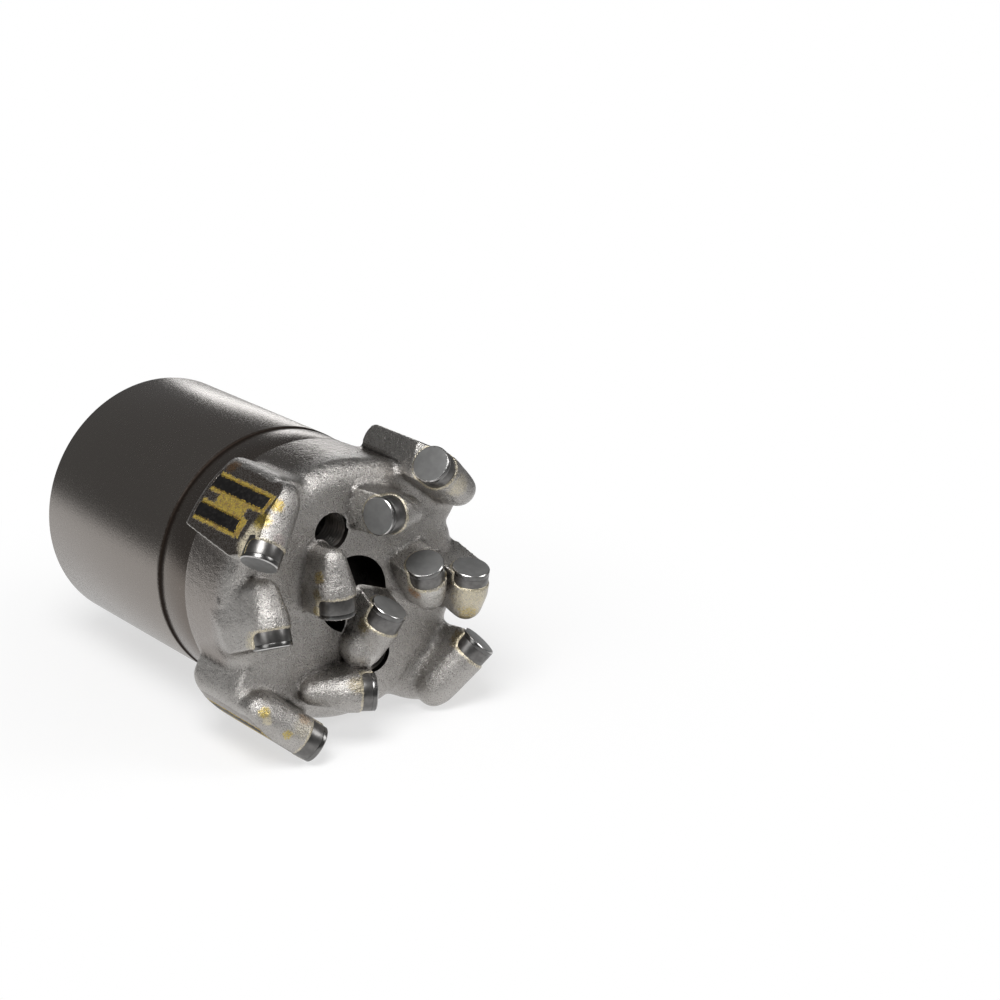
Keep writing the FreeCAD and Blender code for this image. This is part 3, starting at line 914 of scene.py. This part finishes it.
@dataclass
class HelicalRidge:
    """The crest of an internal thread: a ridge that winds up a bore, its half widths shares of the pitch."""

    name: str
    axes: BitAxes
    wall: float
    crest: float
    pitch: float
    low: float
    turns: int
    around: Pair = (0.0, 0.0)
    steps: int = 72
    foot: float = 0.46
    top: float = 0.09

    def build(self, finish: Material) -> Object:
        """Wind the ridge and dress it."""
        deselect_all()
        bpy.ops.mesh.primitive_plane_add(size=1.0)
        item = bpy.context.object
        item.name = self.name
        foot, top = self.foot, self.top
        corners = [(self.wall, -foot), (self.crest, -top), (self.crest, top), (self.wall, foot)]
        in_turn = sorted(item.data.vertices, key=lambda vertex: atan2(vertex.co.y, vertex.co.x))
        for vertex, (radius, rise) in zip(in_turn, corners):
            vertex.co = (radius, 0.0, self.low + rise * self.pitch)
        apply_modifier(item, "SCREW", axis="Z", angle=2 * pi, screw_offset=self.pitch,
                       iterations=self.turns, steps=self.steps, render_steps=self.steps,
                       use_merge_vertices=False)
        with editing(item):
            bpy.ops.mesh.remove_doubles(threshold=0.001)
            bpy.ops.mesh.fill_holes(sides=4)
            bpy.ops.mesh.normals_make_consistent(inside=False)
        paint(item, 35, finish)
        return settle(item, self.axes.matrix @ Matrix.Translation((*self.around, 0.0)))


def read_vectors(elements: object, name: str) -> np.ndarray:
    """One vector property of a mesh's elements, a row for each."""
    values = np.empty(len(elements) * 3)
    elements.foreach_get(name, values)
    return values.reshape(-1, 3)


@dataclass
class Crown(BoredPiece):
    """Crown, wings and posts in one skin, with rounded edges and soft roots, as they come from the forge."""

    seats: list[Seat]
    shoulder_radius: float = 8.0
    waterway_radius: float = 14.0
    fuller_tail: Spot = (-8.8, 16.1, 136.3)
    fuller_radius: float = 7.5
    voxel: float = 0.45
    root_threshold: float = 0.03
    root_rings: int = 6
    root_passes: int = 60
    wing_root_passes: int = 160
    wing_root_band: Pair = (38.0, 56.8)
    wing_root_fade: float = 0.98
    round_passes: int = 14
    wing_passes: int = 130
    edge_passes: int = 3
    flat_reach: Spot = (0.9, 10.5, 18.0)
    pocket_margin: float = 1.6
    trailing_start: float = 21.0
    shelf_start: float = 12.0
    shelf_height: float = 126.0
    wing_start: float = 34.0
    pad_turns: Pair = (-24.0, -4.6)
    pad_heights: Pair = (105.4, 140.4)
    pad_depth: float = 55.5
    face_budget: int = 170000
    sliver_faces: int = 10

    def build(self) -> Object:
        """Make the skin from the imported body, drill it and dress it."""
        item = copy_of("bit_body", "crown")
        settle(item, self.axes.inverse)
        self.keep_front(item, SKIN_START - 4.0, fill=False)
        self.join_plugs(item)
        apply_modifier(item, "REMESH", mode="VOXEL", voxel_size=self.voxel)
        self.soften_roots(item)
        self.round_edges(item)
        apply_modifier(item, "SMOOTH", factor=0.5, iterations=self.edge_passes)
        self.keep_front(item, SKIN_START, fill=True)
        apply_modifier(item, "DECIMATE", ratio=min(1.0, self.face_budget / (2 * len(item.data.polygons))))
        low, high = SKIN_START - 2, FACE_HEIGHT + 0.3
        cut_away(item, new_cylinder("waterway_tool", self.waterway_radius, low, high, sides=128))
        self.ports.drill(item, low, high)
        self.drop_slivers(item)
        bores = [((0.0, 0.0), self.waterway_radius)] + [(spot, self.ports.radius) for spot in self.ports.spots()]
        return self.dress(item, 45, lambda centre: centre.z < FACE_HEIGHT - 0.2 and any(
            (centre.xy - Vector(spot)).length < radius + 0.02 for spot, radius in bores))

    @staticmethod
    def keep_front(item: Object, height: float, fill: bool) -> None:
        """Cut off all that is behind a height.

        Args:
            item: The skin.
            height: Where to cut.
            fill: Whether to close the cut. If not, the CAD mesh's points are merged first.
        """
        with editing(item):
            if not fill:
                bpy.ops.mesh.remove_doubles(threshold=0.0005)
            bpy.ops.mesh.bisect(plane_co=(0, 0, height), plane_no=(0, 0, 1), use_fill=fill, clear_inner=True)

    def drop_slivers(self, item: Object) -> None:
        """Delete the tiny folded faces that the cuts leave along an edge."""
        apply_modifier(item, "TRIANGULATE")
        shape = bmesh.new()
        shape.from_mesh(item.data)
        left, slivers = set(shape.faces), []
        while left:
            group = [left.pop()]
            for face in group:
                for edge in face.edges:
                    if len(edge.link_faces) == 2:
                        new = [other for other in edge.link_faces if other in left]
                        left.difference_update(new)
                        group += new
            if len(group) < self.sliver_faces:
                slivers += group
        bmesh.ops.delete(shape, geom=slivers, context="FACES")
        shape.to_mesh(item.data)
        shape.free()

    def join_plugs(self, item: Object) -> None:
        """Fill the bores, which are drilled again later, and what the cutters hide."""
        shoulder = FACE_HEIGHT - self.shoulder_radius
        plugs = [
            new_cylinder("base_plug", SHANK_RADIUS - 0.4, SKIN_START - 5.0, shoulder),
            new_cylinder("core_plug", SHANK_RADIUS - self.shoulder_radius - 0.5, shoulder - 1.0,
                         FACE_HEIGHT - 0.03),
        ]
        for seat in self.seats:
            plug = new_cylinder(f"{seat.name}_plug", CUTTER_RADIUS - 0.17, -CUTTER_LENGTH - 0.3, -0.7)
            plug.matrix_world = seat.along @ plug.matrix_world
            plugs.append(plug)
        deselect_all()
        bpy.ops.mesh.primitive_uv_sphere_add(segments=64, ring_count=32, radius=self.fuller_radius,
                                             location=self.fuller_tail)
        plugs.append(bpy.context.object)
        make_active(item)
        for plug in plugs:
            plug.select_set(True)
        bpy.ops.object.join()

    def soften_roots(self, item: Object) -> None:
        """Fill the sharp inner corners, where posts and wings grow out of the crown."""
        mesh = item.data
        points, normals = read_vectors(mesh.vertices, "co"), read_vectors(mesh.vertices, "normal")
        count = len(points)
        ends = np.empty(len(mesh.edges) * 2, dtype=np.int64)
        mesh.edges.foreach_get("vertices", ends)
        first, last = ends[0::2], ends[1::2]

        def grown(mask: np.ndarray, fade: float) -> np.ndarray:
            """The mask spread along the edges, ring by ring."""
            for _ in range(self.root_rings):
                wider = mask.copy()
                np.maximum.at(wider, first, mask[last] * fade)
                np.maximum.at(wider, last, mask[first] * fade)
                mask = wider
            return mask

        step = points[last] - points[first]
        degree = np.bincount(ends, minlength=count)
        pull = np.stack([(np.bincount(first, side, count) - np.bincount(last, side, count)) / degree
                         for side in step.T], axis=1)
        clear = self.away_from_cutters(points)
        machined = self.away_from_flats(points)
        mask = clear * ((pull * normals).sum(axis=1) > self.root_threshold)
        mask = grown(mask, 1.0) * clear * self.away_from_strips(points)
        self.smooth_where(item, "roots", mask, self.root_passes)
        radius = np.hypot(points[:, 0], points[:, 1])
        inner, outer = self.wing_root_band
        wide = grown(mask * machined * (radius > inner) * (radius < outer), self.wing_root_fade)
        wide *= clear * machined * self.away_from_strips(points)
        self.smooth_where(item, "wing_roots", wide, self.wing_root_passes)

    def round_edges(self, item: Object) -> None:
        """Round the forged edges, the wings' trailing edges most, and leave the machined ones crisp."""
        points = read_vectors(item.data.vertices, "co")
        forged = self.away_from_cutters(points) * self.away_from_flats(points) * self.away_from_strips(points)
        self.smooth_where(item, "forged", forged, self.round_passes)
        self.smooth_where(item, "trailing", forged * self.wing_backs(points), self.wing_passes)

    @staticmethod
    def smooth_where(item: Object, name: str, weight: np.ndarray, passes: int) -> None:
        """Smooth the skin by a weight at each point.

        Args:
            item: The skin.
            name: Name of the group that holds the weights.
            weight: From 0, left alone, to 1.
            passes: How often to smooth.
        """
        group = item.vertex_groups.new(name=name)
        levels = np.round(weight * 10).astype(int)
        for level in range(1, 11):
            chosen = np.flatnonzero(levels == level)
            if len(chosen):
                group.add(chosen.tolist(), level / 10, "REPLACE")
        apply_modifier(item, "SMOOTH", factor=0.5, iterations=passes, vertex_group=name)

    @staticmethod
    def on_wing(points: np.ndarray) -> tuple[np.ndarray, np.ndarray, np.ndarray]:
        """Each point seen from its nearest wing: outwards, ahead and up."""
        reach = radians(60.0)
        radius = np.hypot(points[:, 0], points[:, 1])
        angle = np.mod(np.arctan2(points[:, 1], points[:, 0]) + reach, pi / 2) - reach
        return radius * np.cos(angle), radius * np.sin(angle), points[:, 2]

    def away_from_flats(self, points: np.ndarray) -> np.ndarray:
        """Which points are clear of the milled flanks of the wings and the milled fronts of the posts."""
        out, ahead, height = self.on_wing(points)
        off = (ahead - FLANK_LEAD) * cos(FLANK_LEAN) - (height - FACE_HEIGHT) * sin(FLANK_LEAN)
        clear = 1.0 - ((np.abs(off) < self.flat_reach[0]) & (out > SHANK_RADIUS + 0.5))
        for seat in self.seats:
            local = np.abs(seat.seen(points) + (SETBACK, 0.0, 0.0))
            clear[(local < self.flat_reach).all(axis=1)] = 0.0
        return clear

    def away_from_strips(self, points: np.ndarray) -> np.ndarray:
        """Which points are clear of the ground pads that the gauge strips are let into."""
        out, ahead, height = self.on_wing(points)
        turn = np.degrees(np.arctan2(ahead, out))
        on_pad = (turn > self.pad_turns[0]) & (turn < self.pad_turns[1]) & (np.hypot(out, ahead) > self.pad_depth)
        return 1.0 - (on_pad & (height > self.pad_heights[0]) & (height < self.pad_heights[1]))

    def away_from_cutters(self, points: np.ndarray) -> np.ndarray:
        """Which points are clear of every cutter's pocket and front flat."""
        clear = np.ones(len(points))
        for seat in self.seats:
            local = seat.seen(points)
            radial = np.hypot(local[:, 1], local[:, 2])
            near = (radial < CUTTER_RADIUS + self.pocket_margin) & (local[:, 0] > -seat.bared - 1.5)
            clear[near & (local[:, 0] < 1.0)] = 0.0
        return clear

    def wing_backs(self, points: np.ndarray) -> np.ndarray:
        """The trailing edge and the top shelf of each wing."""
        def slope(value: np.ndarray, start: float, width: float = 3.0) -> np.ndarray:
            """From 0 at the start to 1 a width further on."""
            return np.clip((value - start) / width, 0.0, 1.0)

        out, ahead, height = self.on_wing(points)
        shelf = slope(-ahead, self.shelf_start, 4.0) * slope(height, self.shelf_height)
        return np.maximum(slope(-ahead, self.trailing_start), shelf) * slope(out, self.wing_start)


@dataclass
class Cutter:
    """One brazed cutter: carbide, the diamond table on its front, and the braze round its pocket."""

    axes: BitAxes
    seat: Seat
    table: float = 1.8
    chamfer: float = 0.35
    rear_chamfer: float = 0.08
    relief_drop: float = 1.0
    relief_corner: float = 3.0
    bead: float = 0.16

    def disc(self, name: str, low: float, high: float, chamfer: float, finishes: list[Material]) -> Object:
        """A short cylinder with a chamfered front rim.

        Args:
            name: Name of the piece.
            low: Its rear end, along the cutter's axis.
            high: Its front end.
            chamfer: Width of the front chamfer.
            finishes: Its material, or those of its side, its front face and its chamfer.

        Returns:
            The piece.
        """
        item = new_cylinder(name, CUTTER_RADIUS, low, high)
        bpy.ops.object.transform_apply(location=True)
        with editing(item):
            choose_edges(item, lambda centre, along: centre.z > high - 0.01
                         and centre.xy.length > CUTTER_RADIUS - 0.1)
            bpy.ops.mesh.bevel(offset=chamfer, segments=1)
            choose_edges(item, lambda centre, along: abs(along.z) < 0.01
                         and centre.xy.length > CUTTER_RADIUS - chamfer - 0.1)
            bpy.ops.mesh.bevel(offset=0.04, segments=2)
        paint(item, 25, *finishes)
        for face in item.data.polygons:
            if len(finishes) > 1 and face.normal.z > 0.3:
                face.material_index = 1 if face.normal.z > 0.99 else 2
        return settle(item, self.axes.matrix @ self.seat.along)

    def rim_path(self) -> list[Vector]:
        """Points along the edge of the pocket, on the cutter's side, in the cutter's frame."""
        radius = CUTTER_RADIUS + 0.05
        low = asin(self.relief_drop / radius)

        def on_side(x: float, angle: float) -> Vector:
            """A point on the cutter's side."""
            return Vector((x, radius * cos(angle), radius * sin(angle)))

        below = [on_side(-SETBACK, -pi + low + (pi - 2 * low) * step / 24) for step in range(25)]
        back = self.seat.bared - self.relief_corner
        edge = [Vector((-SETBACK - (back - SETBACK) * step / 5, radius * cos(low),
                        -self.relief_drop)) for step in range(1, 5)]
        for step in range(7):
            turn = pi / 2 * step / 6
            z = -self.relief_drop + self.relief_corner * (1 - cos(turn))
            edge.append(Vector((-back - self.relief_corner * sin(turn), sqrt(radius ** 2 - z ** 2), z)))
        top = asin((self.relief_corner - self.relief_drop) / radius)
        edge += [on_side(-self.seat.bared, top + (pi / 2 - top) * step / 12) for step in range(1, 12)]
        mirrored = [Vector((point.x, -point.y, point.z)) for point in reversed(edge)]
        return below + edge + [Vector((-self.seat.bared, 0, radius))] + mirrored

    def braze(self, finish: Material) -> Object:
        """The bead of braze along the pocket's edge."""
        name = f"{self.seat.name}_braze"
        curve = bpy.data.curves.new(name, "CURVE")
        curve.dimensions = "3D"
        curve.bevel_depth = self.bead
        curve.bevel_resolution = 2
        spline = curve.splines.new("POLY")
        points = self.rim_path()
        spline.points.add(len(points) - 1)
        shift = Vector((7.0, 3.0, len(self.seat.name)))
        for slot, point in zip(spline.points, points):
            slot.co = (*point, 1.0)
            slot.radius = max(0.2, 0.8 + 1.1 * noise.noise(point * 0.7 + shift))
        spline.use_cyclic_u = True
        make_active(new_object(name, curve))
        bpy.ops.object.convert(target="MESH")
        item = bpy.context.object
        item.data.materials.append(finish)
        bpy.ops.object.shade_smooth()
        return settle(item, self.axes.matrix @ self.seat.place)


@dataclass
class GaugeStrip:
    """One hard strip, ground flush with the gauge, its edges just broken."""

    name: str
    broken_edge: float = 0.12

    def build(self, finish: Material) -> Object:
        """Copy the strip, merge it and break its edges."""
        item = copy_of(self.name, f"{self.name}_ground")
        with editing(item):
            bpy.ops.mesh.remove_doubles(threshold=1e-6)
        break_edges(item, self.broken_edge * MILLIMETRE, 30)
        paint(item, 35, finish)
        return item


# Studio

@dataclass(frozen=True)
class SoftBox:
    """A square white lamp that faces the bit."""

    name: str
    spot: Spot
    side: float
    power: float
    aim: Spot = (0.0, 0.0, 0.05)

    def build(self) -> None:
        """Add the lamp."""
        lamp = bpy.data.lights.new(self.name, "AREA")
        lamp.shape = "SQUARE"
        lamp.size = self.side
        lamp.energy = self.power
        item = new_object(self.name, lamp)
        item.location = self.spot
        item.rotation_euler = (Vector(self.aim) - Vector(self.spot)).to_track_quat("-Z", "Y").to_euler()


@dataclass
class Studio:
    """Pale floor, soft lamps and the camera of the photograph."""

    camera_spot: Spot = (0.71883, -0.44800, 0.39473)
    camera_aim: Spot = (0.05552, 0.06563, 0.06884)
    camera_roll: float = -0.85
    lens: float = 90.1
    sensor: float = 36.0
    floor_colour: Colour = (0.94, 0.94, 0.94)
    floor_side: float = 12.0
    sheet_centre: Spot = (-0.14, -0.10, 0.0)
    sheet_reach: float = 0.31
    mirrored_sheet: Colour = (0.86, 0.86, 0.86)
    beyond: Colour = (0.13, 0.13, 0.13)
    white: tuple[float, float, float, float] = (1.0, 1.0, 1.0, 1.0)
    world_level: float = 0.15
    lamps: tuple[SoftBox, ...] = (
        SoftBox("overhead", (0.42, -0.45, 1.28), 0.7, 16.0),
        SoftBox("front", (0.30, -1.45, 0.72), 0.8, 4.5),
        SoftBox("right", (0.91, 1.01, 0.87), 0.6, 6.0),
        SoftBox("back", (-1.25, 0.95, 0.19), 0.36, 1.1),
    )

    def build(self) -> None:
        """Build the whole studio."""
        self.make_camera()
        self.make_floor()
        self.make_world()
        for lamp in self.lamps:
            lamp.build()
        bpy.context.scene.view_settings.view_transform = "Standard"

    def make_camera(self) -> None:
        """Set the camera where the photograph was taken from."""
        data = bpy.data.cameras.new("camera")
        data.lens = self.lens
        data.sensor_width = self.sensor
        data.clip_start = 0.01
        item = new_object("camera", data)
        spot, aim = Vector(self.camera_spot), Vector(self.camera_aim)
        turn = (aim - spot).to_track_quat("-Z", "Y").to_matrix().to_4x4()
        roll = Matrix.Rotation(radians(self.camera_roll), 4, "Z")
        item.matrix_world = Matrix.Translation(spot) @ turn @ roll
        bpy.context.scene.camera = item

    def make_floor(self) -> None:
        """Lay the pale floor. Metal mirrors it as a sheet of paper in a darker room."""
        deselect_all()
        bpy.ops.mesh.primitive_plane_add(size=self.floor_side)
        floor = bpy.context.object
        floor.name = "floor"
        shade = Shading("pale_floor", Matrix())
        diffuse = shade.node("ShaderNodeBsdfDiffuse", None, {"Color": as_rgba(self.floor_colour)})
        glow = shade.node("ShaderNodeEmission", None, {"Color": self.white, "Strength": 1.0})
        reach = shade.distance(self.sheet_centre).rise(self.sheet_reach + 0.1, self.sheet_reach)
        sheet = shade.node("ShaderNodeEmission", None, {
            "Color": shade.mix(reach, self.beyond, self.mirrored_sheet), "Strength": 1.0})
        seen = shade.node("ShaderNodeLightPath", output="Is Camera Ray")
        mirrored = shade.node("ShaderNodeLightPath", output="Is Glossy Ray")
        plain = shade.node("ShaderNodeMixShader", None, {0: mirrored * 0.8, 1: diffuse, 2: sheet})
        away = shade.distance((0.0, 0.0, 0.0)).rise(0.05, 0.20)
        mixed = shade.node("ShaderNodeMixShader", None, {0: seen * (away * 0.4 + 0.6), 1: plain, 2: glow})
        shade.tree.links.new(mixed.source, shade.output.inputs["Surface"])
        floor.data.materials.append(shade.material)

    def make_world(self) -> None:
        """Fill the surroundings with plain soft light."""
        world = bpy.data.worlds.new("studio")
        world.use_nodes = True
        back = world.node_tree.nodes["Background"]
        back.inputs["Color"].default_value = self.white
        back.inputs["Strength"].default_value = self.world_level
        bpy.context.scene.world = world


def main() -> None:
    """Build the studio and every piece of the bit, in order."""
    logging.basicConfig(level=logging.INFO, format="%(message)s")
    Studio().build()
    axes = BitAxes.from_frame()
    seats = read_seats(axes)

    turned = TurnedSteel().dress(axes)
    cast = CastSteel().dress(axes, seats)
    bore = BoreSteel().dress(axes)
    carbide = GROUND_CARBIDE.dress(axes)
    tables = [finish.dress(axes) for finish in TABLE_FINISHES]
    braze = BrazeMetal().dress(axes)
    strip = StripCarbide().dress(axes)

    ports = Ports()
    finish_piece(Shank(axes, ports, turned, bore).build(), ["bit_body"])
    finish_piece(Crown(axes, ports, cast, bore, seats).build(), ["bit_body"])
    box_thread = HelicalRidge("box_thread", axes, wall=32.3, crest=30.6, pitch=5.08, low=14.5, turns=8)
    finish_piece(box_thread.build(bore), [])
    for number, spot in enumerate(ports.spots(), start=1):
        ridge = HelicalRidge(f"port_{number}_thread", axes, wall=7.0, crest=6.3, pitch=1.5, low=118.0, turns=8,
                             around=spot, steps=48)
        finish_piece(ridge.build(bore), [])
    for seat in seats:
        cutter = Cutter(axes, seat)
        split = -cutter.table
        substrate = cutter.disc(f"{seat.name}_substrate", -CUTTER_LENGTH, split, cutter.rear_chamfer, [carbide])
        finish_piece(substrate, [f"{seat.name}_carbide"])
        table = cutter.disc(f"{seat.name}_table", split, 0.0, cutter.chamfer, tables)
        finish_piece(table, [f"{seat.name}_diamond"])
        finish_piece(cutter.braze(braze), [])
    for number in range(1, 5):
        for kind in ("long", "short"):
            name = f"gauge_strip_{number}_{kind}"
            finish_piece(GaugeStrip(name).build(strip), [name])


if __name__ == "__main__":
    main()
